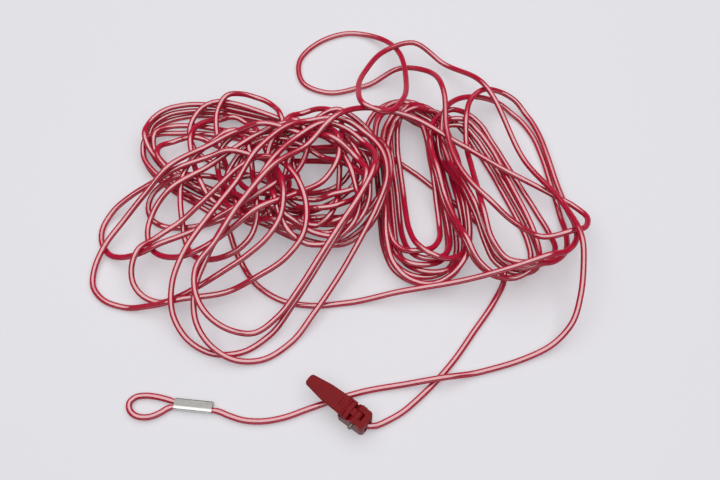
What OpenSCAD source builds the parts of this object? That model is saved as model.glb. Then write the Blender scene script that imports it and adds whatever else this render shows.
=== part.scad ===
// A plastic-covered washing line in a loose heap. One end is folded into an eye held by a
// crimped metal sleeve, and a moulded clamp with a cam lever sits near the other end.
// Millimetres, +Z up. The origin is on the table, under the clamp's pivot.

/* [Line] */
// Diameter of the covered line
cord_d = 4; // [3.6:0.1:4.2]
// Diameter of the core that shows at the two cut ends
core_d = 2.2; // [1.4:0.1:2.6]
// How far the core stands out of a cut end
core_out = 0.5; // [0.4:0.1:2]
// Free room between strands that lie on each other
strand_gap = 0.5; // [0.45:0.05:0.8]
// Steepest climb of a strand over another, as rise over run
climb = 0.4; // [0.35:0.05:0.6]

/* [Coils] */
// Rings along each loop
loop_rings = 20; // [18:1:24]
// Sides of the line in the coils
loop_sides = 6; // [6:1:8]
// Sides of the line where it lies free
free_sides = 8; // [8:1:12]
// Roundness of a narrow loop's ends, where 0 gives plain ovals
tip_round = 0.2; // [0.1:0.01:0.22]

/* [Clamp body] */
// Width of the body over its cheeks
body_w = 12.6; // [12.4:0.2:15]
// Length of the body in front of the pivot
body_front = 12.5; // [11:0.5:13]
// Length of the body behind the pivot
body_rear = 7.5; // [6.5:0.5:8]
// Radius of the front corners
front_corner_r = 3; // [2:0.5:4]
// Radius of the rear corners
rear_corner_r = 2.5; // [0.5:0.5:2.5]
// Height of the cheeks at the front end
front_h = 5.4; // [4:0.2:6.4]
// Height of the closed block at the rear end
rear_h = 13.2; // [12:0.1:13.4]
// Thickness of the floor under the line
floor_t = 1.4; // [1:0.1:2.4]
// Width of the channel that the line runs in
channel_w = 5; // [4.6:0.1:5.6]
// Width of the channel's mouth at the rear end
mouth_w = 7; // [6.6:0.1:7.6]
// Length over which the channel widens to its mouth
mouth_len = 4; // [3:0.2:4.4]
// Length of the bridge over the mouth
bridge_len = 3.8; // [2:0.2:3.8]
// Room between the line and the bridge
bridge_gap = 0.5; // [0.3:0.1:0.8]
// Height of the grip ribs on the channel's floor
rib_h = 0.5; // [0.3:0.1:0.8]
// Step from one grip rib to the next
rib_step = 2.2; // [1.6:0.1:3]
// Number of grip ribs
rib_count = 5; // [3:1:6]

/* [Clamp lever] */
// Length of the lever from the pivot to its tip
lever_len = 38.5; // [34:0.5:42]
// Width of the lever at its root
lever_root_w = 13.2; // [12:0.2:13.4]
// Width of the lever at its waist
lever_mid_w = 11.8; // [10:0.2:12]
// Place of the waist, from the pivot
lever_mid_at = 24; // [18:0.5:28]
// Width of the lever at its tip
lever_tip_w = 8; // [5:0.2:9]
// Radius of the tip's corners, seen from above
lever_tip_r = 2.2; // [1:0.1:2.6]
// Thickness of the lever along its edges
lever_edge_t = 2.2; // [1.8:0.1:3]
// Height of the ridge above the edges
ridge_h = 0.9; // [0.4:0.1:1.5]
// Rise of the lever from its root to its tip
lever_rise = 1.6; // [0:0.2:4]
// Radius of the lever's edges
edge_r = 0.7; // [0.4:0.1:0.9]
// Wall left round the pocket under the lever
lever_wall = 1.4; // [1.1:0.1:2]
// Place of the thumb rib across the lever, from the pivot
thumb_rib_at = 8.5; // [7.5:0.5:10]
// Radius of the thumb rib
thumb_rib_r = 1.2; // [1:0.1:1.6]
// Place of the groove across the lever, from the pivot
groove_at = 12.5; // [11.5:0.5:16]
// Radius of the groove's cutter
groove_r = 1.5; // [1:0.1:2]
// Depth of the groove below the ridge
groove_depth = 0.8; // [0.4:0.1:1.2]
// Radius of the cam
cam_r = 3; // [2.8:0.1:3.6]
// Offset of the cam's centre from the pivot
cam_offset = 0.6; // [0.3:0.1:0.8]
// Turn of that offset short of straight down, with the lever closed
cam_lead = 15; // [0:1:30]
// Depth of the grip teeth in the cam
tooth_depth = 0.35; // [0.2:0.05:0.5]
// Number of grip teeth
tooth_count = 6; // [4:1:8]
// Room between the closed cam and the line
cam_gap = 0.2; // [0.15:0.05:0.4]
// Room between the cam and each cheek
side_gap = 0.2; // [0.1:0.05:0.4]

/* [Pivot pin] */
// Diameter of the pin
pin_d = 2.5; // [2:0.1:2.8]
// Wall of the cheeks round the pin
pin_wall = 2.7; // [2:0.1:2.8]
// How far the plain end stands out of the near cheek
pin_out = 3.4; // [1:0.1:4]
// Diameter of the head on the far cheek
pin_head_d = 4.2; // [3.4:0.1:5]
// Thickness of the head
pin_head_t = 1; // [0.6:0.1:1.6]
// Chamfer of the plain end
pin_chamfer = 0.4; // [0.2:0.1:0.8]
// Room round the pin in the lever
pin_play = 0.08; // [0.03:0.01:0.12]
// Room round the pin in the cheeks
pin_fit = 0.02; // [0.01:0.01:0.04]

/* [Crimp sleeve] */
// Length of the sleeve
sleeve_len = 24; // [20:0.5:28]
// Thickness of its sheet metal
sleeve_wall = 0.65; // [0.5:0.05:0.9]
// Diameter of the line where the sleeve squeezes it
squeeze_d = 3; // [2.8:0.1:3.4]
// Radius of the sleeve's outer corners
sleeve_corner_r = 1; // [0.6:0.1:1.4]
// Room between the squeezed line and the sleeve
sleeve_fit = 0.05; // [0.03:0.01:0.1]
// Width of the lap where the sheet's edge lies over itself
lap_w = 3.2; // [2:0.1:4]
// Height of the lap above the sheet
lap_h = 0.25; // [0.1:0.05:0.4]
// Number of crimp dents along the near side
dent_count = 4; // [2:1:6]
// Diameter of the crimping tool's teeth
dent_d = 2.4; // [1.6:0.1:3]
// Depth of a crimp dent
dent_depth = 0.4; // [0.2:0.05:0.5]

/* [Hidden] */
$fn = 48;

cord_r = cord_d / 2;
line_red = [0.60, 0.20, 0.26];
moulded_red = [0.45, 0.10, 0.14];
sheet_grey = [0.70, 0.70, 0.70];

// Clamp: u runs along it from tip to rear, v across it to the far side
clamp_heading = -37;
seat_gap = 0.05;
line_z = floor_t + rib_h + seat_gap + cord_r;
pivot_z = line_z + cord_r + cam_gap + cam_r + cam_offset * cos(cam_lead);
knuckle_r = pin_d / 2 + pin_wall;
cam_w = channel_w - 2 * side_gap;
// The lever's hub fills the slot between the cheeks, level with the rear block
hub_r = min(rear_h - pivot_z, body_rear - bridge_len - side_gap);
hub_from = 40;
swing_gap = 0.5;
lever_root_u = -(knuckle_r + swing_gap + edge_r);
lever_tip_u = edge_r - lever_len;
lever_under_z = pivot_z + edge_r + 0.9;
pocket_setback = 5;
line_end_u = -(body_front + 2);

// Sleeve: x runs along it, with the eye beyond its -x end
sleeve_at = [-102.3, 9.2];
sleeve_heading = -6;
leg_pitch = squeeze_d + 2 * sleeve_fit;
sleeve_in_r = squeeze_d / 2 + sleeve_fit;
sleeve_half_w = leg_pitch / 2 + sleeve_in_r + sleeve_wall;
leg_z = sleeve_in_r + sleeve_wall;
leg_y = leg_pitch / 2;
// Straight run of the line into the sleeve
lead_in = 3;

// Free stretches of the line, as chosen points in plan. The tail's first point lies in the clamp's mouth.
tail_points = [[6.8, -4.3], [11.2, -3.4], [18.5, 0], [27, 5], [37, 13.5], [50, 26.5], [61, 39.5],
               [75, 59.5], [90, 81.5], [98, 98], [97, 117], [87, 137], [70, 156], [48, 177]];
floor_points = [[145, 118], [136, 106], [122, 99.5], [100, 94], [62, 90.5], [28, 86], [-8, 80.5],
                [-30, 78.5], [-50, 82], [-68, 94], [-82, 116], [-94, 143]];
top_points = [[-92, 105], [-76, 128], [-56, 156], [-35, 176], [-16, 194], [6, 210], [34, 212],
              [70, 193], [105, 177], [137, 159], [150, 149], [156, 139], [153, 129], [142, 123],
              [124, 121], [104, 127], [84, 142], [69, 166], [62, 199], [61, 233], [52, 261], [31, 272],
              [5, 264], [-24, 258], [-42, 267], [-46, 288], [-29, 310], [-4, 318], [18, 308], [31, 284],
              [35, 253], [31, 223], [19, 206], [5, 208], [0, 229], [6, 257], [20, 281], [42, 293],
              [66, 281], [93, 246], [118, 190], [139, 145]];
lead_points = [[146, 112], [146, 95], [143.5, 78], [138, 62.5], [126, 50.5], [104, 40], [78, 32], [52, 26],
               [26, 22.8], [5, 19.2], [-14, 13.6], [-32, 7], [-46, 1.8], [-60, -0.6], [-71, 0.2], [-81, 3.5]];
eye_points = [[-15.5, -3], [-20, -6.6], [-25.5, -9.6], [-31, -10.4], [-36, -9.2], [-39.4, -6], [-40.2, -2],
              [-37.4, 1.8], [-32, 3.5], [-24.5, 3.6], [-15.5, 2.3]];

// Loops of the two piles: outer end x and y, inner end x and y, width, fullness towards the outer end
right_loops = [
    [43, 90, 28, 249, 62, 0.1],
    [48, 95, 34, 250, 54, 0.1],
    [46, 98, 30, 243, 48, 0.1],
    [52, 99, 38, 240, 44, 0.1],
    [44, 103, 32, 236, 38, 0.1],
    [49, 106, 36, 226, 30, 0.1],
    [40, 111, 31, 231, 34, 0.1],
    [57, 104, 44, 230, 38, 0.1],
    [48, 92, 43, 238, 54, 0.1],
    [102, 96, 61, 220, 46, 0.1],
    [112, 99, 68, 217, 36, 0.1],
    [105, 94, 64, 223, 50, 0.1],
    [119, 100, 67, 232, 46, 0.1],
    [116, 98, 100, 252, 58, 0.1],
    [128, 104, 102, 246, 50, 0]
];
left_loops = [
    [-156, 216, 21, 151, 92, -0.3],
    [-152, 221, 14, 155, 78, -0.3],
    [-155, 206, 22, 146, 66, -0.3],
    [-148, 212, 10, 155, 52, -0.2],
    [-153, 221, 0, 166, 72, -0.2],
    [-122, 224, -10, 180, 46, 0],
    [-143, 200, 18, 141, 46, -0.2],
    [-147, 152, -34, 167, 34, 0],
    [-104, 228, -76, 146, 52, 0],
    [-87, 243, -53, 128, 46, 0.1],
    [-32, 229, -39, 127, 46, 0],
    [-6, 216, -36, 134, 58, 0],
    [14, 180, -72, 174, 58, 0],
    [7, 148, -96, 169, 62, 0],
    [4, 132, -86, 184, 54, 0],
    [-89, 108, -105, 203, 52, 0.1],
    [-19, 113, -45, 203, 54, 0.1],
    [-140, 118, -10, 196, 60, 0],
    [-176, 126, -60, 170, 50, 0],
    [-148, 90, -48, 148, 54, -0.2],
    [-176, 90, -40, 165, 96, -0.4],
    [-106, 50, -2, 200, 78, 0],
    [-90, 44, 6, 192, 74, 0],
    [-92, 60, -4, 186, 64, 0]
];
// Angles from the first loop's outer end at which each pile starts, and from the last one's at which it stops
right_start = 140;
right_stop = -50;
left_start = -70;
left_stop = 40;
// Angle either side of an outer end over which a loop keeps its own shape
loop_hold = 90;
// Length of line within which a strand can't meet itself
near_run = 60;
settle_passes = 70;

function limit(x, low, high) = max(low, min(high, x));
function smooth(u) = u * u * (3 - 2 * u);
function mix(a, b, share) = a + (b - a) * share;
function unit(v) = v / norm(v);
function plan(p) = [p[0], p[1]];
function clamp_plan(u) = [u * cos(clamp_heading), u * sin(clamp_heading)];
function sleeve_plan(p) = sleeve_at + [p[0] * cos(sleeve_heading) - p[1] * sin(sleeve_heading),
                                       p[0] * sin(sleeve_heading) + p[1] * cos(sleeve_heading)];

// The oval that the line follows at this angle, eased from one loop into the next
function loop_row(rows, angle) = let (
    last = floor(angle / 360),
    past = angle - 360 * last,
    share = smooth(limit((past - loop_hold) / (360 - 2 * loop_hold), 0, 1)),
    top = len(rows) - 1)
    mix(rows[limit(last, 0, top)], rows[limit(last + 1, 0, top)], share);

function loop_point(rows, angle) = let (
    row = loop_row(rows, angle),
    outer = [row[0], row[1]],
    inner = [row[2], row[3]],
    along = unit(outer - inner),
    across = [along[1], -along[0]],
    length = norm(outer - inner),
    half_w = row[4] / 2 * (1 + row[5] * cos(angle)),
    full = tip_round * (1 - row[4] / length))
    (outer + inner) / 2 + along * length / 2 * cos(angle)
    + across * half_w * (sin(angle) + full * sin(3 * angle)) / (1 - full);

function coil_plan(rows, start, stop) = let (
    sweep = 360 * (len(rows) - 1) + stop - start,
    steps = round(sweep / 360 * loop_rings))
    [for (i = [0:steps]) loop_point(rows, start + sweep * i / steps)];

// The whole line from its free end to the sleeve, in plan, stretch by stretch. The last point lies in the
// sleeve and only sets the heading.
function stretches() = [
    concat([for (u = [line_end_u, -4, 3]) clamp_plan(u)], tail_points),
    coil_plan(right_loops, right_start, right_stop),
    floor_points,
    coil_plan(left_loops, left_start, left_stop),
    top_points,
    concat(lead_points, [for (x = [lead_in, 0, -lead_in]) sleeve_plan([sleeve_len / 2 + x, -leg_y])])
];
function first_of(parts, k) = k == 0 ? 0 : first_of(parts, k - 1) + len(parts[k - 1]);
function whole_plan(parts) = [for (part = parts) each part];

// Least plan distance of two straight pieces ab and cd, with the shares along them where it lies
function foot(p, a, b) = limit((p - a) * (b - a) / ((b - a) * (b - a)), 0, 1);
function nearer(a, b) = b[0] < a[0] ? b : a;
function meeting(a, b, c, d) = let (
    ab = b - a,
    cd = d - c,
    turn = cross(ab, cd),
    s = abs(turn) < 1e-9 ? -1 : cross(c - a, cd) / turn,
    t = abs(turn) < 1e-9 ? -1 : cross(c - a, ab) / turn)
    s >= 0 && s <= 1 && t >= 0 && t <= 1 ? [0, s, t]
    : nearer(nearer(let (s = foot(c, a, b)) [norm(c - mix(a, b, s)), s, 0],
                    let (s = foot(d, a, b)) [norm(d - mix(a, b, s)), s, 1]),
             nearer(let (t = foot(a, c, d)) [norm(a - mix(c, d, t)), 0, t],
                    let (t = foot(b, c, d)) [norm(b - mix(c, d, t)), 1, t]));

// For each piece of the line, the earlier pieces that it has to pass over: which, where, and how far above
function overlaps(p, run, pitch) = let (
    count = len(p) - 1,
    middle = [for (i = [0:count - 1]) (p[i] + p[i + 1]) / 2],
    reach = [for (i = [0:count - 1]) (run[i + 1] - run[i] + pitch) / 2])
    [for (i = [0:count - 1]) [
        for (j = [0:1:i - 2])
            if (abs(middle[i][0] - middle[j][0]) < reach[i] + reach[j]
                && abs(middle[i][1] - middle[j][1]) < reach[i] + reach[j]
                && run[i] - run[j + 1] > near_run)
                let (m = meeting(p[i], p[i + 1], p[j], p[j + 1]))
                    if (m[0] < pitch) [j, m[1], m[2], sqrt(pitch * pitch - m[0] * m[0])]]];

function run_lengths(p) = [for (i = 0, s = 0; i < len(p); i = i + 1,
                                s = i < len(p) ? s + norm(p[i] - p[i - 1]) : s) s];
function reversed(list) = [for (i = [len(list) - 1:-1:0]) list[i]];
function lack(z, i, over) = mix(z[over[0]], z[over[0] + 1], over[2]) + over[3] - mix(z[i], z[i + 1], over[1]);
function lift_share(over, end) = let (s = over[1]) (end ? s : 1 - s) / (s * s + (1 - s) * (1 - s));
// Raises each point by what the strands under its two pieces still ask for
function lifted(z, over) = [for (i = [0:len(z) - 1]) z[i] + max(concat([0],
    i < len(over) ? [for (o = over[i]) lack(z, i, o) * lift_share(o, false)] : [],
    i > 0 ? [for (o = over[i - 1]) lack(z, i - 1, o) * lift_share(o, true)] : []))];
// Raises the points next to a high one, so that the line climbs no steeper than it may
function ramped(z, run) = [for (i = 0, q = z[0]; i < len(z); i = i + 1,
    q = i < len(z) ? max(z[i], q - climb * abs(run[i] - run[i - 1])) : q) q];
function eased(z, run) = reversed(ramped(reversed(ramped(z, run)), reversed(run)));
function settled(z, run, over, passes) =
    passes == 0 ? z : settled(eased(lifted(z, over), run), run, over, passes - 1);

function least_gap(z, over) = min([for (i = [0:len(over) - 1]) for (o = over[i])
    norm([sqrt(max(0, pow(cord_d + strand_gap, 2) - o[3] * o[3])), lack(z, i, o) - o[3]]) - cord_d]);

// The line's points in space: each strand rests on the table or on the strands laid before it
function line_points(parts) = let (
    p = whole_plan(parts),
    run = run_lengths(p),
    over = overlaps(p, run, cord_d + strand_gap),
    in_clamp = len(parts[0]) - len(tail_points) + 1,
    start = [for (i = [0:len(p) - 1]) i < in_clamp ? line_z : cord_r],
    z = settled(start, run, over, settle_passes))
    echo(strands_least_gap = least_gap(z, over))
    echo(line_length = run[len(run) - 1], heap_height = max(z) + cord_r)
    [for (i = [0:len(p) - 1]) [p[i][0], p[i][1], i < len(p) - 3 ? z[i] : leg_z]];

function heading_at(p, i) = unit(p[min(i + 1, len(p) - 1)] - p[max(i - 1, 0)]);
function ring(p, i, radius, sides) = let (
    ahead = heading_at(p, i),
    side = unit(cross(ahead, [0, 0, 1])),
    up = cross(side, ahead))
    [for (k = [0:sides - 1]) p[i] + radius * (side * cos(360 * k / sides) + up * sin(360 * k / sides))];

// A tube along points from one index to another, all triangles
module tube(p, from, to, sides, radii) {
    rings = to - from;
    last = rings * sides;
    points = [for (i = [from:to]) each ring(p, i, is_list(radii) ? radii[i] : radii, sides)];
    walls = [for (i = [0:rings - 1]) for (k = [0:sides - 1]) let (
        a = i * sides + k,
        b = i * sides + (k + 1) % sides)
        each [[a, b, b + sides], [a, b + sides, a + sides]]];
    start_cap = [for (k = [1:sides - 2]) [0, k + 1, k]];
    end_cap = [for (k = [1:sides - 2]) [last, last + k, last + k + 1]];
    polyhedron(points, concat(walls, start_cap, end_cap));
}

// One stretch of the line, up to the first point of the next one
module stretch(k, sides) {
    parts = stretches();
    last = first_of(parts, len(parts)) - 2;
    from = first_of(parts, k);
    to = min(first_of(parts, k + 1), last);
    p = line_points(parts);
    radii = [for (i = [0:last]) i == last ? squeeze_d / 2 : cord_r];
    color(line_red) tube(p, from, to, sides, radii);
}

module line_tail() { stretch(0, free_sides); }
module right_coil() { stretch(1, loop_sides); }
module floor_run() { stretch(2, free_sides); }
module left_coil() { stretch(3, loop_sides); }
module top_run() { stretch(4, free_sides); }
module line_lead() { stretch(5, free_sides); }

// The eye, with the squeezed legs that lie side by side in the sleeve
module line_eye() {
    half = sleeve_len / 2;
    near_leg = [for (x = [half, 0, -half]) [x, -leg_y]];
    far_leg = [for (x = [-half, 0, half]) [x, leg_y]];
    local = concat(near_leg, eye_points, far_leg);
    eye = [for (i = [0:len(local) - 1]) let (q = sleeve_plan(local[i])) [q[0], q[1], leg_z]];
    in_sleeve = [for (q = local) q[0] > -half - 1];
    radii = [for (squeezed = in_sleeve) squeezed ? squeeze_d / 2 : cord_r];
    color(line_red) tube(eye, 0, len(eye) - 1, free_sides, radii);
}

module on_clamp() { rotate([0, 0, clamp_heading]) children(); }
module on_sleeve() { translate(concat(sleeve_at, [0])) rotate([0, 0, sleeve_heading]) children(); }
// Along v, from the near side to the far side
module crossways() { rotate([-90, 0, 0]) children(); }
// A side profile in u and z, as thick as width
module profile(width) { translate([0, width / 2, 0]) rotate([90, 0, 0]) linear_extrude(width) children(); }

module core_ends() {
    color("ivory") {
        on_clamp() translate([line_end_u, 0, line_z])
            rotate([0, -90, 0]) cylinder(d = core_d, h = core_out);
        on_sleeve() translate([sleeve_len / 2, leg_y, leg_z])
            rotate([0, 90, 0]) cylinder(d = core_d, h = core_out);
    }
}

module rounded_square(half_w, half_h, radius) {
    square([2 * half_w, 2 * (half_h - radius)], center = true);
    square([2 * (half_w - radius), 2 * half_h], center = true);
    for (x = [radius - half_w, half_w - radius]) for (y = [radius - half_h, half_h - radius])
        translate([x, y]) circle(radius);
}

module legs_section() {
    for (s = [-1, 1]) translate([s * leg_y, 0]) circle(sleeve_in_r);
    square([leg_pitch, 2 * sleeve_in_r], center = true);
}

module crimp_sleeve() {
    dent_step = sleeve_len / dent_count;
    dent_y = dent_depth - sleeve_half_w - dent_d / 2;
    color(sheet_grey) on_sleeve() difference() {
        translate([-sleeve_len / 2, 0, leg_z]) rotate([90, 0, 90]) linear_extrude(sleeve_len) {
            difference() {
                rounded_square(sleeve_half_w, leg_z, sleeve_corner_r);
                legs_section();
            }
            translate([-lap_w / 2, leg_z - lap_h]) square([lap_w, 2 * lap_h]);
        }
        for (k = [0:dent_count - 1])
            translate([(k + 0.5) * dent_step - sleeve_len / 2, dent_y, -1])
                cylinder(d = dent_d, h = 2 * leg_z + 2);
    }
}

module body_outline() {
    w = body_w / 2;
    front = front_corner_r - body_front;
    rear = body_rear - rear_corner_r;
    polygon([[-body_front, front_corner_r - w], [front, -w], [rear, -w], [body_rear, rear_corner_r - w],
             [body_rear, w - rear_corner_r], [rear, w], [front, w], [-body_front, w - front_corner_r]]);
    for (s = [-1, 1]) {
        translate([front, s * (w - front_corner_r)]) circle(front_corner_r);
        translate([rear, s * (w - rear_corner_r)]) circle(rear_corner_r);
    }
}

module clamp_body() {
    top_z = pivot_z + knuckle_r + 1;
    mouth_top = line_z + cord_r + bridge_gap;
    ribs_start = -rib_step * (rib_count - 1) * 0.6;
    color(moulded_red) on_clamp() {
        difference() {
            intersection() {
                linear_extrude(top_z) body_outline();
                profile(body_w + 2) {
                    polygon([[-body_front - 1, 0], [body_rear + 1, 0], [body_rear + 1, rear_h],
                             [0, rear_h], [0, pivot_z], [-knuckle_r, pivot_z],
                             [-body_front - 1, front_h]]);
                    translate([0, pivot_z]) circle(knuckle_r);
                }
            }
            translate([0, 0, floor_t]) linear_extrude(mouth_top - floor_t) polygon([
                [-body_front - 1, -channel_w / 2], [body_rear - mouth_len, -channel_w / 2],
                [body_rear, -mouth_w / 2], [body_rear + 1, -mouth_w / 2], [body_rear + 1, mouth_w / 2],
                [body_rear, mouth_w / 2], [body_rear - mouth_len, channel_w / 2],
                [-body_front - 1, channel_w / 2]]);
            translate([-body_front - 1, -channel_w / 2, mouth_top - 1])
                cube([body_front + 1 + body_rear - bridge_len, channel_w, top_z]);
            translate([0, -body_w, pivot_z]) crossways() cylinder(d = pin_d + 2 * pin_fit, h = 2 * body_w);
        }
        for (k = [0:rib_count - 1])
            translate([ribs_start + k * rib_step, 0, floor_t])
                profile(channel_w) polygon([[-rib_h, 0], [rib_h, 0], [0, rib_h]]);
    }
}

module edge_ball(u, v, z) { translate([u, v, z]) sphere(edge_r, $fn = 20); }

// Half of the lever's width, and the height of its lower edges' centres, at a place along it
function lever_share(u) = (u - lever_root_u) / (lever_tip_u - lever_root_u);
function lever_half_w(u) = let (mid = -lever_mid_at)
    u > mid ? mix(lever_root_w, lever_mid_w, (u - lever_root_u) / (mid - lever_root_u)) / 2
    : mix(lever_mid_w, lever_tip_w, (u - mid) / (lever_tip_u - mid)) / 2;
function lever_low(u) = lever_under_z + lever_rise * lever_share(u);

module lever_handle() {
    thick = lever_edge_t - 2 * edge_r;
    inset = lever_tip_r - edge_r;
    tip_v = lever_half_w(lever_tip_u) - edge_r;
    tip_z = lever_low(lever_tip_u);
    hull() {
        for (u = [lever_root_u, -lever_mid_at]) {
            for (s = [-1, 1]) for (z = [0, thick])
                edge_ball(u, s * (lever_half_w(u) - edge_r), lever_low(u) + z);
            edge_ball(u, 0, lever_low(u) + thick + ridge_h);
        }
        for (s = [-1, 1]) for (z = [0, thick]) for (turn = [0:30:90])
            edge_ball(lever_tip_u + inset * (1 - sin(turn)),
                      s * (tip_v - inset * (1 - cos(turn))), tip_z + z);
        edge_ball(lever_tip_u, 0, tip_z + thick + ridge_h / 2);
    }
}

// The hollow under the handle, open below
module lever_pocket() {
    from = lever_root_u - pocket_setback;
    to = lever_tip_u + lever_wall;
    roof = lever_edge_t - lever_wall - edge_r;
    hull() for (u = [from, -lever_mid_at, to]) for (s = [-1, 1])
        translate([u, s * (lever_half_w(u) - lever_wall), lever_low(u) + roof - 3])
            cylinder(r = 0.5, h = 3, $fn = 16);
}

module cam_profile() {
    translate([-cam_offset * sin(cam_lead), pivot_z - cam_offset * cos(cam_lead)]) circle(cam_r);
    translate([0, pivot_z]) intersection() {
        circle(hub_r);
        polygon([[0, 0], 2 * hub_r * [cos(hub_from), sin(hub_from)], [0, 2 * hub_r], [-2 * hub_r, hub_r],
                 [-2 * hub_r, 0]]);
    }
    neck_u = lever_root_u - 2.5;
    polygon([[neck_u, lever_under_z + lever_edge_t - edge_r], [neck_u, lever_under_z - edge_r],
             [-cam_r * 0.9, pivot_z - cam_r * 0.4], [0, pivot_z], [cam_r * 0.5, pivot_z + cam_r * 0.8],
             [lever_root_u + 1.2, lever_under_z + lever_edge_t - edge_r]]);
}

module clamp_lever() {
    tooth_turn = 14;
    edge_top = lever_edge_t - edge_r;
    rib_z = lever_low(-thumb_rib_at) + edge_top;
    rib_len = 2 * lever_half_w(-thumb_rib_at) - edge_r;
    groove_z = lever_low(-groove_at) + edge_top + ridge_h + groove_r - groove_depth;
    color(moulded_red) on_clamp() difference() {
        union() {
            difference() {
                lever_handle();
                lever_pocket();
            }
            profile(cam_w) cam_profile();
            translate([-thumb_rib_at, -rib_len / 2, rib_z])
                crossways() cylinder(r = thumb_rib_r, h = rib_len);
        }
        translate([-groove_at, -body_w, groove_z]) crossways() cylinder(r = groove_r, h = 2 * body_w);
        translate([0, -body_w, pivot_z]) crossways() cylinder(d = pin_d + 2 * pin_play, h = 2 * body_w);
        translate([-cam_offset * sin(cam_lead), 0, pivot_z - cam_offset * cos(cam_lead)])
            for (k = [0:tooth_count - 1])
                rotate([0, (k - tooth_count / 2) * tooth_turn + 22, 0])
                    translate([0, 0, -cam_r]) rotate([0, 45, 0])
                        cube([tooth_depth * 1.4, cam_w + 2, tooth_depth * 1.4], center = true);
    }
}

module pivot_pin() {
    near = -body_w / 2 - pin_out;
    far = body_w / 2;
    color("silver") on_clamp() translate([0, 0, pivot_z]) crossways() rotate_extrude() polygon([
        [0, near], [pin_d / 2 - pin_chamfer, near], [pin_d / 2, near + pin_chamfer], [pin_d / 2, far],
        [pin_head_d / 2, far], [pin_head_d / 2, far + pin_head_t], [0, far + pin_head_t]]);
}

line_tail();
right_coil();
floor_run();
left_coil();
top_run();
line_lead();
line_eye();
core_ends();
crimp_sleeve();
clamp_body();
clamp_lever();
pivot_pin();
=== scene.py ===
"""A plastic-covered washing line in a loose heap, with a crimped eye and a cam-lever line clamp."""

import math

import bmesh
import bpy
import numpy as np
from mathutils import Matrix, Vector


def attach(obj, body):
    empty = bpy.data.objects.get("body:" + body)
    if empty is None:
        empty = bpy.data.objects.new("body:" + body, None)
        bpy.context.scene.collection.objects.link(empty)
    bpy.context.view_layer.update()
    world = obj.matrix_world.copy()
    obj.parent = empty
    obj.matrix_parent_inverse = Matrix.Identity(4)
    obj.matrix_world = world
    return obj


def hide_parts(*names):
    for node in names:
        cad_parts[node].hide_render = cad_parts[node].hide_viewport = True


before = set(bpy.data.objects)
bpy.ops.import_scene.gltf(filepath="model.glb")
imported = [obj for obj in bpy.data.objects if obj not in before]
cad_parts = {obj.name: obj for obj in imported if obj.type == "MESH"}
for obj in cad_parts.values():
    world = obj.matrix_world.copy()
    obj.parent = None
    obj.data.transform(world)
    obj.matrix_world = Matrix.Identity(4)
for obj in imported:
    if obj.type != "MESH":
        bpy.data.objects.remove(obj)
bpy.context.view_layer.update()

MM = 0.001
# The line, in millimetres, as the part's source has it. Strands that cross keep a gap, climb no steeper
# than CLIMB and settle in PASSES rounds. They count as two only with more than NEAR_RUN of line between them.
LINE_D = 4.0
STRAND_GAP = 0.5
CLIMB = 0.4
NEAR_RUN = 60.0
PASSES = 70
PARALLEL = 1e-9
# The piles: knots to a loop, how blunt its tips are, and the angles at which the line joins and leaves
LOOP_RINGS = 20
TIP_ROUND = 0.2
RIGHT_SWEEP = (140, -50)
LEFT_SWEEP = (-70, 40)
# The clamp: its heading, the line's height and knots along its channel, and the channel's mouth
CLAMP_TURN = math.radians(-37)
LINE_Z = 3.95
LINE_END_U = -14.5
CLAMP_KNOTS = (LINE_END_U, -4, 3)
# The sleeve: its place, heading and length, the line's knots at its mouth, how far to each side it squeezes,
# the squeezed size, the run over which the line swells again, and where its legs lie
SLEEVE_AT = np.array([-102.3, 9.2])
SLEEVE_TURN = math.radians(-6)
SLEEVE_LEN = 24.0
SLEEVE_KNOTS = (3, 0, -3)
SLEEVE_REACH = 6
SQUEEZE_D = 3.0
SWELL_RUN = 3.2
LEG_Y = 1.55
LEG_Z = 2.2
# Points along the smooth line, closer together round the eye
POINT_SPACING = 3.5
EYE_FINER = 2.5

TAIL = [(6.8, -4.3), (11.2, -3.4), (18.5, 0), (27, 5), (37, 13.5), (50, 26.5), (61, 39.5), (75, 59.5),
        (90, 81.5), (98, 98), (97, 117), (87, 137), (70, 156), (48, 177)]
FLOOR_RUN = [(145, 118), (136, 106), (122, 99.5), (100, 94), (62, 90.5), (28, 86), (-8, 80.5),
             (-30, 78.5), (-50, 82), (-68, 94), (-82, 116), (-94, 143)]
TOP_RUN = [(-92, 105), (-76, 128), (-56, 156), (-35, 176), (-16, 194), (6, 210), (34, 212), (70, 193),
           (105, 177), (137, 159), (150, 149), (156, 139), (153, 129), (142, 123), (124, 121),
           (104, 127), (84, 142), (69, 166), (62, 199), (61, 233), (52, 261), (31, 272), (5, 264),
           (-24, 258), (-42, 267), (-46, 288), (-29, 310), (-4, 318), (18, 308), (31, 284), (35, 253),
           (31, 223), (19, 206), (5, 208), (0, 229), (6, 257), (20, 281), (42, 293), (66, 281),
           (93, 246), (118, 190), (139, 145)]
LEAD = [(146, 112), (146, 95), (143.5, 78), (138, 62.5), (126, 50.5), (104, 40), (78, 32), (52, 26),
        (26, 22.8), (5, 19.2), (-14, 13.6), (-32, 7), (-46, 1.8), (-60, -0.6), (-71, 0.2), (-81, 3.5)]
EYE = [(-15.5, -3), (-20, -6.6), (-25.5, -9.6), (-31, -10.4), (-36, -9.2), (-39.4, -6), (-40.2, -2),
       (-37.4, 1.8), (-32, 3.5), (-24.5, 3.6), (-15.5, 2.3)]
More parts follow.
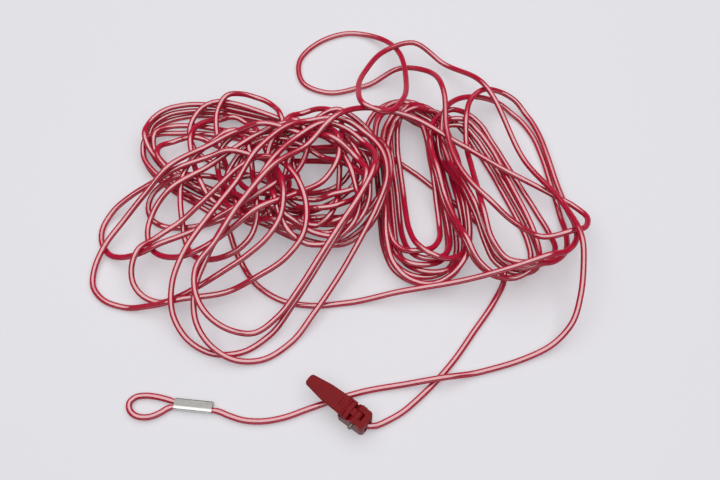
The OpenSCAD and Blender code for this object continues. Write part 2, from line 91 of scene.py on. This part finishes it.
# Loops: outer end x and y, inner end x and y, width, fullness towards the outer end
RIGHT_LOOPS = [
    (43, 90, 28, 249, 62, 0.1), (48, 95, 34, 250, 54, 0.1), (46, 98, 30, 243, 48, 0.1),
    (52, 99, 38, 240, 44, 0.1), (44, 103, 32, 236, 38, 0.1), (49, 106, 36, 226, 30, 0.1),
    (40, 111, 31, 231, 34, 0.1), (57, 104, 44, 230, 38, 0.1), (48, 92, 43, 238, 54, 0.1),
    (102, 96, 61, 220, 46, 0.1), (112, 99, 68, 217, 36, 0.1), (105, 94, 64, 223, 50, 0.1),
    (119, 100, 67, 232, 46, 0.1), (116, 98, 100, 252, 58, 0.1), (128, 104, 102, 246, 50, 0)]
LEFT_LOOPS = [
    (-156, 216, 21, 151, 92, -0.3), (-152, 221, 14, 155, 78, -0.3), (-155, 206, 22, 146, 66, -0.3),
    (-148, 212, 10, 155, 52, -0.2), (-153, 221, 0, 166, 72, -0.2), (-122, 224, -10, 180, 46, 0),
    (-143, 200, 18, 141, 46, -0.2), (-147, 152, -34, 167, 34, 0), (-104, 228, -76, 146, 52, 0),
    (-87, 243, -53, 128, 46, 0.1), (-32, 229, -39, 127, 46, 0), (-6, 216, -36, 134, 58, 0),
    (14, 180, -72, 174, 58, 0), (7, 148, -96, 169, 62, 0), (4, 132, -86, 184, 54, 0),
    (-89, 108, -105, 203, 52, 0.1), (-19, 113, -45, 203, 54, 0.1), (-140, 118, -10, 196, 60, 0),
    (-176, 126, -60, 170, 50, 0), (-148, 90, -48, 148, 54, -0.2), (-176, 90, -40, 165, 96, -0.4),
    (-106, 50, -2, 200, 78, 0), (-90, 44, 6, 192, 74, 0), (-92, 60, -4, 186, 64, 0)]


def colour(code):
    """An sRGB hex colour as linear RGBA."""
    channels = [int(code[i:i + 2], 16) / 255 for i in (1, 3, 5)]
    return tuple(c / 12.92 if c <= 0.04045 else ((c + 0.055) / 1.055) ** 2.4 for c in channels) + (1.0,)


# The camera stands where the photograph was taken from: 60 degrees down, 622 mm from the table
camera = bpy.data.objects.new("camera", bpy.data.cameras.new("camera"))
bpy.context.scene.collection.objects.link(camera)
camera.data.lens = 45
camera.data.sensor_width = 36
camera.data.clip_start = 0.02
camera.location = (0.0012, -0.1812, 0.5387)
camera.rotation_euler = (math.radians(30), 0, 0)
bpy.context.scene.camera = camera


# The line

def eased(share):
    """A share from 0 to 1, with a gentle start and stop."""
    return share * share * (3 - 2 * share)


def loop_point(rows, angle):
    """The point at this angle on the pile's oval, which eases from one loop into the next."""
    turn = math.floor(angle / 360)
    share = eased(min(max((angle - 360 * turn - 90) / 180, 0), 1))
    last = len(rows) - 1
    before = np.array(rows[min(max(turn, 0), last)], float)
    after = np.array(rows[min(max(turn + 1, 0), last)], float)
    row = before + (after - before) * share
    outer, inner = row[0:2], row[2:4]
    length = np.linalg.norm(outer - inner)
    along = (outer - inner) / length
    across = np.array([along[1], -along[0]])
    a = math.radians(angle)
    half_w = row[4] / 2 * (1 + row[5] * math.cos(a))
    full = TIP_ROUND * (1 - row[4] / length)
    sideways = half_w * (math.sin(a) + full * math.sin(3 * a)) / (1 - full)
    return (outer + inner) / 2 + along * length / 2 * math.cos(a) + across * sideways


def pile(rows, start, stop):
    """Knots round a pile's loops, from one angle on the first to another on the last."""
    sweep = 360 * (len(rows) - 1) + stop - start
    steps = round(sweep / 360 * LOOP_RINGS)
    return [loop_point(rows, start + sweep * i / steps) for i in range(steps + 1)]


def turned(p, angle, at=(0, 0)):
    """A point in plan, turned by the angle and moved to the place."""
    c, s = math.cos(angle), math.sin(angle)
    return np.array([at[0] + p[0] * c - p[1] * s, at[1] + p[0] * s + p[1] * c])


def cross(u, v):
    """The cross product in plan."""
    return u[..., 0] * v[..., 1] - u[..., 1] * v[..., 0]


def foot(q, c, d):
    """The share along the pieces from c, as long as d, that comes nearest to q."""
    return np.clip(((q - c) * d).sum(-1) / (d * d).sum(-1), 0, 1)


def meetings(p, run, pitch):
    """Pieces of the line that pass over each other in plan: later, earlier, shares along both, rise."""
    a, b = p[:-1], p[1:]
    found = []
    for i in range(2, len(a)):
        j = np.flatnonzero(run[i] - run[1:i] > NEAR_RUN)
        reach = (np.linalg.norm(b[i] - a[i]) + np.linalg.norm(b[j] - a[j], axis=1)) / 2 + pitch
        j = j[np.linalg.norm((a[j] + b[j] - a[i] - b[i]) / 2, axis=1) < reach]
        if not len(j):
            continue
        ab, cd, ac = b[i] - a[i], b[j] - a[j], a[j] - a[i]
        spin = cross(ab, cd)
        spin = np.where(abs(spin) < PARALLEL, PARALLEL, spin)
        s, t = cross(ac, cd) / spin, cross(ac, ab) / spin
        hit = (s >= 0) & (s <= 1) & (t >= 0) & (t <= 1)
        one, zero = np.ones(len(j)), np.zeros(len(j))
        tries = [(foot(a[j], a[i], ab), zero), (foot(b[j], a[i], ab), one),
                 (zero, foot(a[i], a[j], cd)), (one, foot(b[i], a[j], cd))]
        gaps = [np.linalg.norm(a[i] + ab * s_[:, None] - a[j] - cd * t_[:, None], axis=1)
                for s_, t_ in tries]
        best = np.argmin(gaps, axis=0)
        pick = np.arange(len(j))
        gap = np.where(hit, 0, np.array(gaps)[best, pick])
        s = np.where(hit, s, np.array([q[0] for q in tries])[best, pick])
        t = np.where(hit, t, np.array([q[1] for q in tries])[best, pick])
        for k in np.flatnonzero(gap < pitch):
            found.append((i, j[k], s[k], t[k], math.sqrt(pitch * pitch - gap[k] * gap[k])))
    return found


def settled(z, run, over, passes):
    """Heights at which each strand clears the ones laid before it, and climbs no steeper than it may."""
    i, j, s, t, rise = (np.array(column) for column in zip(*over))
    share = s * s + (1 - s) * (1 - s)
    step = CLIMB * np.diff(run)
    for _ in range(passes):
        lack = z[j] * (1 - t) + z[j + 1] * t + rise - z[i] * (1 - s) - z[i + 1] * s
        lift = np.zeros(len(z))
        np.maximum.at(lift, i, lack * (1 - s) / share)
        np.maximum.at(lift, i + 1, lack * s / share)
        z = z + lift
        for k in range(1, len(z)):
            z[k] = max(z[k], z[k - 1] - step[k - 1])
        for k in range(len(z) - 2, -1, -1):
            z[k] = max(z[k], z[k + 1] - step[k])
    return z


def line_knots():
    """The whole line from its free end in the clamp, through the heap and the sleeve and round the eye."""
    half = SLEEVE_LEN / 2
    in_clamp = [turned((u, 0), CLAMP_TURN) for u in CLAMP_KNOTS]
    to_sleeve = [turned((half + x, -LEG_Y), SLEEVE_TURN, SLEEVE_AT) for x in SLEEVE_KNOTS]
    plan = np.array(in_clamp + TAIL + pile(RIGHT_LOOPS, *RIGHT_SWEEP) + FLOOR_RUN
                    + pile(LEFT_LOOPS, *LEFT_SWEEP) + TOP_RUN + LEAD + to_sleeve, float)
    run = np.concatenate([[0], np.cumsum(np.linalg.norm(np.diff(plan, axis=0), axis=1))])
    z = np.full(len(plan), LINE_D / 2)
    z[:len(in_clamp) + 1] = LINE_Z
    z = settled(z, run, meetings(plan, run, LINE_D + STRAND_GAP), PASSES)
    z[-len(to_sleeve):] = LEG_Z
    eye = [(0, -LEG_Y), (-half, -LEG_Y)] + EYE + [(-half, LEG_Y), (0, LEG_Y), (half, LEG_Y)]
    eye = np.array([turned(q, SLEEVE_TURN, SLEEVE_AT) for q in eye])
    return np.concatenate([np.column_stack([plan, z]), np.column_stack([eye, np.full(len(eye), LEG_Z)])])


def smoothed(knots, spacing, fine_from):
    """A smooth curve through the knots, with points about spacing apart, and closer from one knot on."""
    d = np.linalg.norm(np.diff(knots, axis=0), axis=1)
    slope = np.diff(knots, axis=0) / d[:, None]
    tangent = np.empty_like(knots)
    tangent[0], tangent[-1] = slope[0], slope[-1]
    tangent[1:-1] = (slope[:-1] * d[1:, None] + slope[1:] * d[:-1, None]) / (d[1:] + d[:-1])[:, None]
    # In height the curve keeps between its knots, so that a strand sinks into nothing
    down, up = slope[:-1, 2], slope[1:, 2]
    together = down * up > 0
    tangent[1:-1, 2] = np.where(together, 2 * down * up / np.where(together, down + up, 1), 0)
    out = []
    for k in range(len(d)):
        count = max(1, round(d[k] / (spacing if k < fine_from else spacing / EYE_FINER)))
        for u in np.arange(count) / count:
            out.append((1 + 2 * u) * (1 - u) ** 2 * knots[k] + u * (1 - u) ** 2 * d[k] * tangent[k]
                       + u * u * (3 - 2 * u) * knots[k + 1] - u * u * (1 - u) * d[k] * tangent[k + 1])
    return np.array(out + [knots[-1]])


def line_radius(path):
    """The line's radius at each point, thinner where the sleeve squeezes it."""
    local = [turned(q, -SLEEVE_TURN) for q in path[:, :2] - SLEEVE_AT]
    x, y = np.array(local).T
    beyond = np.maximum(abs(x) - SLEEVE_LEN / 2, 0)
    ease = np.clip(beyond / SWELL_RUN, 0, 1)
    ease = np.where(abs(y) < SLEEVE_REACH, ease, 1)
    return SQUEEZE_D / 2 + (LINE_D - SQUEEZE_D) / 2 * eased(ease)


def line_mesh(path, radius, sides=12):
    """A closed tube along the path, with the run along the line and the turn round it as its UV map."""
    ahead = np.gradient(path, axis=0)
    ahead /= np.linalg.norm(ahead, axis=1)[:, None]
    side = np.cross(ahead, (0, 0, 1))
    side /= np.linalg.norm(side, axis=1)[:, None]
    up = np.cross(side, ahead)
    run = np.concatenate([[0], np.cumsum(np.linalg.norm(np.diff(path, axis=0), axis=1))])
    turn = np.arange(sides) * 2 * math.pi / sides
    rings = (path[:, None] + radius[:, None, None]
             * (side[:, None] * np.cos(turn)[None, :, None] + up[:, None] * np.sin(turn)[None, :, None]))
    points = rings.reshape(-1, 3) * MM
    faces, uvs = [], []
    for i in range(len(path) - 1):
        for k in range(sides):
            n = (k + 1) % sides
            faces.append((i * sides + k, i * sides + n, (i + 1) * sides + n, (i + 1) * sides + k))
            here, ahead_of = run[i] * MM, run[i + 1] * MM
            left, right = k / sides, (k + 1) / sides
            uvs += [(here, left), (here, right), (ahead_of, right), (ahead_of, left)]
    last = (len(path) - 1) * sides
    faces += [tuple(range(sides - 1, -1, -1)), tuple(range(last, last + sides))]
    uvs += [(0, 0.5)] * sides + [(run[-1] * MM, 0.5)] * sides
    mesh = bpy.data.meshes.new("washing_line")
    mesh.from_pydata(points.tolist(), [], faces)
    layer = mesh.uv_layers.new(name="line_run")
    layer.data.foreach_set("uv", np.array(uvs).ravel())
    mesh.polygons.foreach_set("use_smooth", [True] * (len(faces) - 2) + [False, False])
    return mesh


knots = line_knots()
# Finer from the knot before the eye's own and the five that lie in the sleeve
line_path = smoothed(knots, POINT_SPACING, len(knots) - len(EYE) - 6)
washing_line = bpy.data.objects.new("washing_line", line_mesh(line_path, line_radius(line_path)))
bpy.context.scene.collection.objects.link(washing_line)
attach(washing_line, "base")
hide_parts("line_tail", "right_coil", "floor_run", "left_coil", "top_run", "line_lead",
            "line_eye")


# Materials

def add(tree, kind, links=None, **settings):
    """A node with its settings, and its inputs linked from other nodes' sockets."""
    node = tree.nodes.new(kind)
    for name, value in settings.items():
        if name in node.inputs:
            node.inputs[name].default_value = value
        else:
            setattr(node, name, value)
    for name, socket in (links or {}).items():
        tree.links.new(socket, node.inputs[name])
    return node


def surface(name):
    """A new material with an empty tree, and its tree."""
    material = bpy.data.materials.new(name)
    material.use_nodes = True
    material.node_tree.nodes.clear()
    return material, material.node_tree


def noise(tree, place, scale, detail):
    """Noise in the piece's own metres: its grains are about 1 / scale across."""
    grain = add(tree, "ShaderNodeTexNoise", {"Vector": place.outputs["Object"]}, Scale=scale, Detail=detail)
    return grain.outputs["Fac"]


def blend(tree, share, low, high):
    """A colour between two hex colours."""
    mix = add(tree, "ShaderNodeMix", {"Factor": share}, data_type="RGBA")
    mix.inputs["A"].default_value = colour(low)
    mix.inputs["B"].default_value = colour(high)
    return mix.outputs["Result"]


def ranged(tree, value, low, high, start=0.0, stop=1.0):
    """A number that goes from low to high while the value goes from start to stop."""
    node = add(tree, "ShaderNodeMapRange", {"Value": value},
               **{"From Min": start, "From Max": stop, "To Min": low, "To Max": high})
    return node.outputs["Result"]


def shaded(tree, links, **settings):
    """The material's one shader, with its settings on its own sockets."""
    shader = add(tree, "ShaderNodeBsdfPrincipled", links, **settings)
    add(tree, "ShaderNodeOutputMaterial", {"Surface": shader.outputs["BSDF"]})


def plasticised_pvc():
    """Soft PVC, extruded over a laid core: deep crimson, wet-looking, with only a trace of the lay."""
    material, tree = surface("plasticised_pvc_cover")
    run = add(tree, "ShaderNodeUVMap", uv_map="line_run")
    part = add(tree, "ShaderNodeSeparateXYZ", {"Vector": run.outputs["UV"]})
    core_strands, metres_a_turn = 3, 0.018
    along = add(tree, "ShaderNodeMath", {0: part.outputs["X"]}, operation="MULTIPLY")
    along.inputs[1].default_value = 1 / metres_a_turn
    lay = add(tree, "ShaderNodeMath", {0: part.outputs["Y"], 1: along.outputs[0]}, operation="ADD")
    strands = add(tree, "ShaderNodeMath", {0: lay.outputs[0]}, operation="MULTIPLY")
    strands.inputs[1].default_value = core_strands * 2 * math.pi
    wave = add(tree, "ShaderNodeMath", {0: strands.outputs[0]}, operation="SINE")
    place = add(tree, "ShaderNodeTexCoord")
    # Blotches of pigment about 20 mm across, and a handling haze of about 1 mm
    red = blend(tree, noise(tree, place, scale=50, detail=3), "#b21133", "#bf1d3e")
    rough = ranged(tree, noise(tree, place, scale=1000, detail=4), low=0.22, high=0.3)
    bump = add(tree, "ShaderNodeBump", {"Height": wave.outputs[0]}, Strength=0.02, Distance=0.0001)
    # The wet gloss is full where the cover faces the eye and falls off towards its edges
    edge = add(tree, "ShaderNodeLayerWeight", Blend=0.5)
    gloss = ranged(tree, edge.outputs["Facing"], low=1.0, high=0.06, start=0.11, stop=0.28)
    shaded(tree, {"Base Color": red, "Roughness": rough, "Normal": bump.outputs["Normal"],
                  "Coat Weight": gloss},
           **{"IOR": 1.53, "Specular IOR Level": 0.1, "Coat Weight": 1.0, "Coat Roughness": 0.06,
              "Coat IOR": 3.0})
    return material


def moulded_abs(name, low, high):
    """ABS, injection-moulded: dark red, glossy on the flats, slightly orange-peeled, paler where handled."""
    material, tree = surface(name)
    place = add(tree, "ShaderNodeTexCoord")
    peel = noise(tree, place, scale=700, detail=2)
    wear = noise(tree, place, scale=160, detail=5)
    rough = ranged(tree, wear, low=0.24, high=0.36)
    bump = add(tree, "ShaderNodeBump", {"Height": peel}, Strength=0.15, Distance=0.0001)
    shaded(tree, {"Base Color": blend(tree, wear, low, high), "Roughness": rough,
                  "Normal": bump.outputs["Normal"]}, **{"IOR": 1.54, "Specular IOR Level": 0.11})
    return material


def pressed_aluminium():
    """Soft aluminium sheet, folded and crimped: grey, rolling marks along it, and a painted highlight that
    makes its near side paler.
    """
    material, tree = surface("pressed_aluminium")
    place = add(tree, "ShaderNodeTexCoord")
    aligned = add(tree, "ShaderNodeMapping", {"Vector": place.outputs["Object"]})
    aligned.inputs["Rotation"].default_value = (0, 0, -SLEEVE_TURN)
    # Marks about 17 mm long and 0.6 mm wide
    aligned.inputs["Scale"].default_value = (60, 1600, 1600)
    rolled = add(tree, "ShaderNodeTexNoise", {"Vector": aligned.outputs["Vector"]}, Scale=1, Detail=4)
    grey = blend(tree, noise(tree, place, scale=350, detail=4), "#7a7975", "#9b9a96")
    # The near side is painted paler as a highlight, from 1.3 mm off the middle and fully from 1.7 mm
    sideways = (-math.sin(SLEEVE_TURN), math.cos(SLEEVE_TURN))
    across = add(tree, "ShaderNodeVectorMath", {0: place.outputs["Object"]}, operation="DOT_PRODUCT")
    across.inputs[1].default_value = (*sideways, 0)
    middle = float(SLEEVE_AT @ sideways * MM)
    near_side_highlight = ranged(tree, across.outputs["Value"], low=0.0, high=1.0,
                    start=middle - 1.3 * MM, stop=middle - 1.7 * MM)
    # Painted highlight: on the near side the grey is mixed towards a pale grey
    highlit_grey = add(tree, "ShaderNodeMix", {"Factor": near_side_highlight, "A": grey}, data_type="RGBA")
    highlit_grey.inputs["B"].default_value = colour("#d0cecb")
    rough = ranged(tree, rolled.outputs["Fac"], low=0.14, high=0.26)
    bump = add(tree, "ShaderNodeBump", {"Height": rolled.outputs["Fac"]}, Strength=0.2, Distance=0.00008)
    shaded(tree, {"Base Color": highlit_grey.outputs["Result"], "Roughness": rough,
                  "Normal": bump.outputs["Normal"]}, Metallic=1.0)
    return material


def drawn_steel():
    """Steel wire, drawn and cropped: dull warm grey, mottled where it was cropped."""
    material, tree = surface("drawn_steel_wire")
    marks = noise(tree, add(tree, "ShaderNodeTexCoord"), scale=1800, detail=3)
    shaded(tree, {"Base Color": blend(tree, marks, "#675e5a", "#8a7f79"),
                  "Roughness": ranged(tree, marks, low=0.25, high=0.45)}, Metallic=1.0)
    return material


def polyester_fibre():
    """Polyester yarn, cut square: off-white, matt, a little soiled."""
    material, tree = surface("polyester_core_yarn")
    soil = noise(tree, add(tree, "ShaderNodeTexCoord"), scale=1500, detail=3)
    shaded(tree, {"Base Color": blend(tree, soil, "#c8c2b4", "#ece8de")}, Roughness=0.85)
    return material


pvc = plasticised_pvc()
body_abs = moulded_abs("moulded_abs_body", "#74090e", "#840f15")
lever_abs = moulded_abs("moulded_abs_lever", "#740a0f", "#841117")
aluminium = pressed_aluminium()
steel = drawn_steel()
yarn = polyester_fibre()
washing_line.data.materials.append(pvc)


# The clamp and the sleeve: the CAD shapes with their edges broken

# Points closer than WELD are one, faces within FLAT are one face, and edges over SHARP are rounded
WELD = 2e-6
FLAT = math.radians(1)
SHARP = math.radians(32)


def broken_edges(node, name, material, body, width):
    """A copy of a CAD node with its triangles joined up and its sharp edges rounded by width."""
    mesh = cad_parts[node].data.copy()
    mesh.name = name
    piece = bpy.data.objects.new(name, mesh)
    bpy.context.scene.collection.objects.link(piece)
    bm = bmesh.new()
    bm.from_mesh(mesh)
    bmesh.ops.remove_doubles(bm, verts=bm.verts, dist=WELD)
    bmesh.ops.dissolve_limit(bm, angle_limit=FLAT, verts=bm.verts, edges=bm.edges)
    for face in bm.faces:
        face.smooth = True
    bm.to_mesh(mesh)
    bm.free()
    mesh.materials.clear()
    mesh.materials.append(material)
    bevel = piece.modifiers.new("broken_edges", "BEVEL")
    bevel.width = width
    bevel.segments = 3
    bevel.limit_method = "ANGLE"
    bevel.angle_limit = SHARP
    bevel.use_clamp_overlap = True
    bevel.harden_normals = True
    piece.matrix_world = Matrix()
    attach(piece, body)
    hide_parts(node)
    return piece


clamp_body = broken_edges("clamp_body", "clamp_body_moulding", body_abs, "base", width=0.0006)
clamp_lever = broken_edges("clamp_lever", "clamp_lever_moulding", lever_abs, "lever", width=0.00035)
pivot_pin = broken_edges("pivot_pin", "pivot_pin_wire", steel, "base", width=0.0001)
crimp_sleeve = broken_edges("crimp_sleeve", "crimp_sleeve_sheet", aluminium, "base", width=0.00012)


# The core: yarns laid round a middle one, which show where the line is cut

def yarn_tree():
    """Yarns that lean round a middle one, as a rope's strands do, standing on the XY plane."""
    tree = bpy.data.node_groups.new("core_yarns", "GeometryNodeTree")
    sizes = {}
    for name, kind in (("Yarns", "NodeSocketInt"), ("Yarn radius", "NodeSocketFloat"),
                       ("Lay radius", "NodeSocketFloat"), ("Length", "NodeSocketFloat"),
                       ("Lean", "NodeSocketFloat"), ("Material", "NodeSocketMaterial")):
        sizes[name] = tree.interface.new_socket(name, in_out="INPUT", socket_type=kind).identifier
    tree.interface.new_socket("Geometry", in_out="OUTPUT", socket_type="NodeSocketGeometry")
    given = add(tree, "NodeGroupInput").outputs
    stick = add(tree, "GeometryNodeMeshCylinder", {"Radius": given["Yarn radius"], "Depth": given["Length"]},
                Vertices=10)
    circle = add(tree, "GeometryNodeMeshCircle",
                 {"Vertices": given["Yarns"], "Radius": given["Lay radius"]})
    place = add(tree, "GeometryNodeInputPosition")
    round_it = add(tree, "ShaderNodeVectorMath", {1: place.outputs["Position"]}, operation="CROSS_PRODUCT")
    round_it.inputs[0].default_value = (0, 0, 1)
    lean = add(tree, "ShaderNodeVectorMath", {0: round_it.outputs["Vector"], "Scale": given["Lean"]},
               operation="SCALE")
    along = add(tree, "ShaderNodeVectorMath", {0: lean.outputs["Vector"]}, operation="ADD")
    along.inputs[1].default_value = (0, 0, 1)
    turn = add(tree, "FunctionNodeAlignRotationToVector", {"Vector": along.outputs["Vector"]})
    ring = add(tree, "GeometryNodeInstanceOnPoints",
               {"Points": circle.outputs["Mesh"], "Instance": stick.outputs["Mesh"],
                "Rotation": turn.outputs["Rotation"]})
    both = add(tree, "GeometryNodeJoinGeometry")
    tree.links.new(ring.outputs["Instances"], both.inputs["Geometry"])
    tree.links.new(stick.outputs["Mesh"], both.inputs["Geometry"])
    real = add(tree, "GeometryNodeRealizeInstances", {"Geometry": both.outputs["Geometry"]})
    dressed = add(tree, "GeometryNodeSetMaterial",
                  {"Geometry": real.outputs["Geometry"], "Material": given["Material"]})
    add(tree, "NodeGroupOutput", {"Geometry": dressed.outputs["Geometry"]})
    return tree, sizes


def cut_ends(places):
    """The yarns at each cut end, given as a point in millimetres and a heading, in one piece."""
    tree, sizes = yarn_tree()
    blank = bpy.data.objects.new("blank", bpy.data.meshes.new("blank"))
    bpy.context.scene.collection.objects.link(blank)
    nodes = blank.modifiers.new("yarns", "NODES")
    nodes.node_group = tree
    # Six yarns round one make the 2.2 mm core. They are 0.8 mm long with their middle 0.1 mm outside,
    # so 0.5 mm of them stands out of the cut.
    middle_out = 0.0001
    for name, value in (("Yarns", 6), ("Yarn radius", 0.00036), ("Lay radius", 0.00072),
                        ("Length", 0.0008), ("Lean", 500.0), ("Material", yarn)):
        nodes[sizes[name]] = value
    bpy.context.view_layer.update()
    seen = bpy.context.evaluated_depsgraph_get()
    one = bpy.data.meshes.new_from_object(blank.evaluated_get(seen))
    bpy.data.objects.remove(blank)
    bm = bmesh.new()
    for point, heading in places:
        end = one.copy()
        up = Vector((math.cos(heading), math.sin(heading), 0))
        end.transform(Matrix.Translation(Vector(point) * MM + up * middle_out)
                      @ up.to_track_quat("Z", "Y").to_matrix().to_4x4())
        bm.from_mesh(end)
        bpy.data.meshes.remove(end)
    mesh = bpy.data.meshes.new("core_yarn_ends")
    bm.to_mesh(mesh)
    bm.free()
    mesh.materials.append(yarn)
    piece = bpy.data.objects.new("core_yarn_ends", mesh)
    bpy.context.scene.collection.objects.link(piece)
    return piece


sleeve_end = turned((SLEEVE_LEN / 2, LEG_Y), SLEEVE_TURN, SLEEVE_AT)
clamp_end = turned((LINE_END_U, 0), CLAMP_TURN)
core_ends = cut_ends([((*clamp_end, LINE_Z), CLAMP_TURN + math.pi), ((*sleeve_end, LEG_Z), SLEEVE_TURN)])
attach(core_ends, "base")
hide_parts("core_ends")


# The table, the lamp and the room

def matt_board():
    """Pale laminate board: nearly white, matt, with light shadows."""
    material, tree = surface("pale_board")
    place = add(tree, "ShaderNodeTexCoord")
    white = blend(tree, noise(tree, place, scale=2.5, detail=2), "#e4e3e8", "#e8e7eb")
    shader = add(tree, "ShaderNodeBsdfPrincipled", {"Base Color": white}, Roughness=0.8)
    # As a background, part of it is its own plain white, which no shadow darkens: about a third round the
    # heap, and all of it where the lamp doesn't reach
    away = add(tree, "ShaderNodeVectorMath", {0: place.outputs["Object"]}, operation="LENGTH")
    part = ranged(tree, away.outputs["Value"], low=0.36, high=1.0, start=0.6, stop=1.3)
    rays = add(tree, "ShaderNodeLightPath").outputs
    mirrored = add(tree, "ShaderNodeMath", {0: rays["Is Glossy Ray"], 1: rays["Is Transmission Ray"]},
                   operation="MAXIMUM")
    seen = add(tree, "ShaderNodeMath", {0: rays["Is Camera Ray"], 1: mirrored.outputs[0]},
               operation="MAXIMUM")
    share = add(tree, "ShaderNodeMath", {0: seen.outputs[0], 1: part}, operation="MULTIPLY")
    plain = add(tree, "ShaderNodeEmission", Color=colour("#e3e2e7"), Strength=1.0)
    both = add(tree, "ShaderNodeMixShader",
               {0: share.outputs[0], 1: shader.outputs["BSDF"], 2: plain.outputs["Emission"]})
    add(tree, "ShaderNodeOutputMaterial", {"Surface": both.outputs["Shader"]})
    material.cycles.emission_sampling = "NONE"
    return material


def studio_floor(radius, wall, sides=64):
    """A round floor with a low wall far off, so that a view from low down ends on pale board."""
    turns = [2 * math.pi * k / sides for k in range(sides)]
    ring = [(radius * math.cos(turn), radius * math.sin(turn)) for turn in turns]
    points = [(x, y, 0) for x, y in ring] + [(x, y, wall) for x, y in ring]
    faces = [(k, (k + 1) % sides, sides + (k + 1) % sides, sides + k) for k in range(sides)]
    mesh = bpy.data.meshes.new("table")
    mesh.from_pydata(points, [], [tuple(range(sides))] + faces)
    mesh.materials.append(matt_board())
    return mesh


table = bpy.data.objects.new("table", studio_floor(radius=12, wall=1.2))
bpy.context.scene.collection.objects.link(table)


def softbox(name, place, aim, size, power):
    """A large soft lamp at the place, turned to face the aim."""
    lamp = bpy.data.lights.new(name, "AREA")
    lamp.shape = "RECTANGLE"
    lamp.size, lamp.size_y = size
    lamp.energy = power
    piece = bpy.data.objects.new(name, lamp)
    piece.location = place
    piece.rotation_euler = (Vector(aim) - Vector(place)).to_track_quat("-Z", "Y").to_euler()
    piece.visible_camera = False
    bpy.context.scene.collection.objects.link(piece)


softbox("overhead_softbox", place=(0.0, 0.3, 1.2), aim=(0.0, 0.3, 0), size=(2.2, 2.7), power=30.0)

room = bpy.data.worlds.new("room")
bpy.context.scene.world = room
room.use_nodes = True
background = room.node_tree.nodes["Background"].inputs
background["Color"].default_value = colour("#eeeef2")
background["Strength"].default_value = 0.09

bpy.context.scene.view_settings.view_transform = "Standard"
